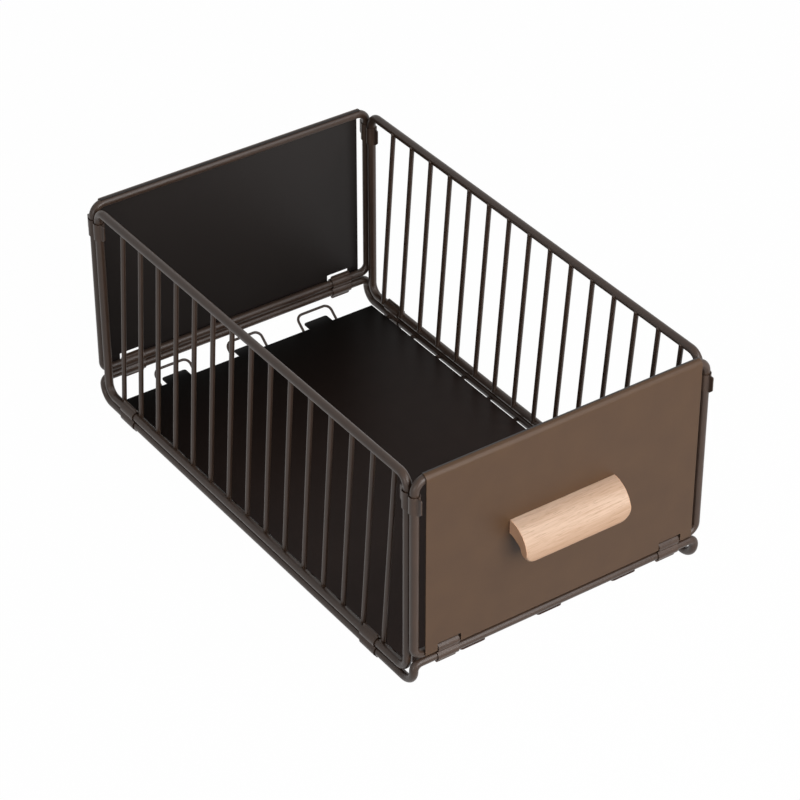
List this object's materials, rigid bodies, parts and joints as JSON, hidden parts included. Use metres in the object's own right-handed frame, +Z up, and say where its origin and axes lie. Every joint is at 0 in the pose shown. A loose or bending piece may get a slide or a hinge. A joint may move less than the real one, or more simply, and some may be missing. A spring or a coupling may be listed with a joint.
{
  "type": "pull-out cabinet basket",
  "caption": "Fold-down pull-out cabinet basket: saddle-shaped wire base with a plate floor, barred side walls, sheet end panels hinged by rolled clips, and a wooden front handle.",
  "frame": {"origin": "centre of the footprint of the whole object's box, at the height of the side hinge clips' lower lips, on which it stands", "axes": "+X across the basket to the right as seen from the front, +Y from the handle end to the rear end, +Z up; the handle faces -Y"},
  "size_m": [0.2336, 0.4116, 0.1683],
  "materials": {
    "coated_wire": "satin brown powder coat on steel wire",
    "coated_panel": "satin brown powder coat on sheet steel",
    "coated_plate": "satin dark brown powder coat on sheet steel",
    "coated_clips": "satin brown powder coat on rolled sheet clips",
    "wood": "pale straight-grained wood, clear matt lacquer",
    "screw_steel": "zinc-plated screws"
  },
  "bodies": {
    "base": {"base_ring": "coated_wire", "cross_wires": "coated_wire", "floor_plate": "coated_plate", "left_loops": "coated_wire", "middle_loops": "coated_wire", "right_loops": "coated_wire", "left_clip_front": "coated_clips", "left_clip_rear": "coated_clips", "right_clip_front": "coated_clips", "right_clip_rear": "coated_clips", "front_clip_left": "coated_clips", "front_clip_right": "coated_clips", "back_clip_left": "coated_clips", "back_clip_right": "coated_clips"},
    "left_wall": {"left_rim": "coated_wire", "left_bars": "coated_wire", "left_catch_front": "coated_clips", "left_catch_rear": "coated_clips"},
    "right_wall": {"right_rim": "coated_wire", "right_bars": "coated_wire", "right_catch_front": "coated_clips", "right_catch_rear": "coated_clips"},
    "front_wall": {"front_rim": "coated_wire", "front_panel": "coated_panel", "front_catch_left": "coated_clips", "front_catch_right": "coated_clips", "handle": "wood", "handle_screws": "screw_steel"},
    "back_wall": {"back_rim": "coated_wire", "back_panel": "coated_panel", "back_catch_left": "coated_clips", "back_catch_right": "coated_clips"}
  },
  "joints": [
    {"name": "left_fold", "type": "hinge", "parent": "base", "child": "left_wall", "pos_m": [-0.113, 0.00711, 0.013], "axis": [0, 1, 0], "range_deg": [0, 90], "deforming": ["left_loops", "middle_loops"]},
    {"name": "right_fold", "type": "hinge", "parent": "base", "child": "right_wall", "pos_m": [0.113, 0.00711, 0.013], "axis": [0, -1, 0], "range_deg": [0, 84.5], "deforming": ["right_loops"]},
    {"name": "front_fold", "type": "hinge", "parent": "base", "child": "front_wall", "pos_m": [0, -0.18389, 0.0288], "axis": [1, 0, 0], "range_deg": [0, 90]},
    {"name": "back_fold", "type": "hinge", "parent": "base", "child": "back_wall", "pos_m": [0, 0.19811, 0.0288], "axis": [-1, 0, 0], "range_deg": [0, 90]}
  ]
}
